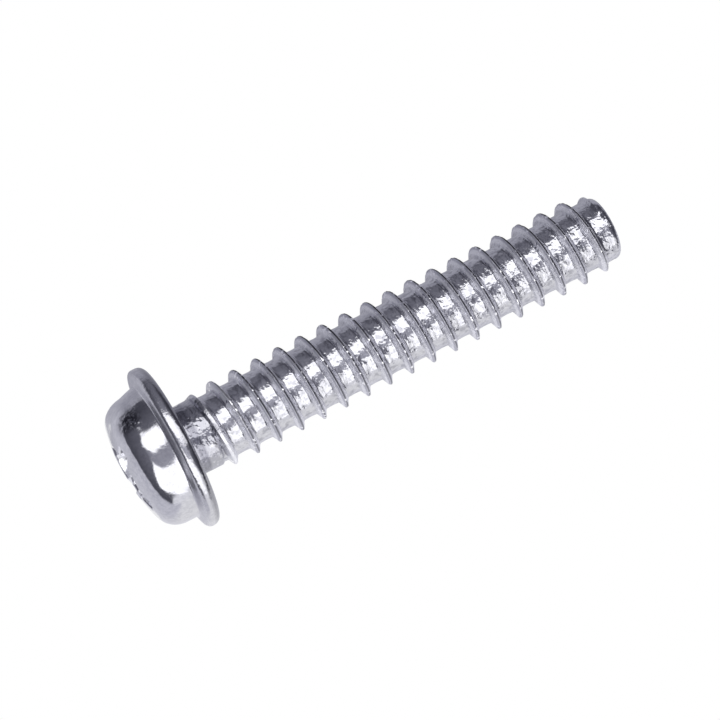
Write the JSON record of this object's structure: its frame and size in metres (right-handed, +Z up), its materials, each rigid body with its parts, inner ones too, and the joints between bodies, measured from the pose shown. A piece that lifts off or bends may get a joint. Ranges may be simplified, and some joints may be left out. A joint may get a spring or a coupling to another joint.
{
  "type": "flanged tapping screw",
  "caption": "Flanged pan head tapping screw with a cross recess, a coarse thread along the whole shank and a flat end, in bright zinc-plated steel.",
  "frame": {"origin": "centre of the bounding box's bottom, on the table that the screw lies on", "axes": "+Z up; the screw's axis lies in the XZ plane and runs towards +X from the head to the flat end, sloping down by 5.53 degrees because the flange's rim holds the head up"},
  "size_m": [0.0394, 0.0124, 0.0124],
  "materials": {
    "zinc_plated_steel": "bright zinc plate, smooth, with small rolling marks and nicks"
  },
  "bodies": {
    "root": {"screw": "zinc_plated_steel"}
  },
  "joints": []
}
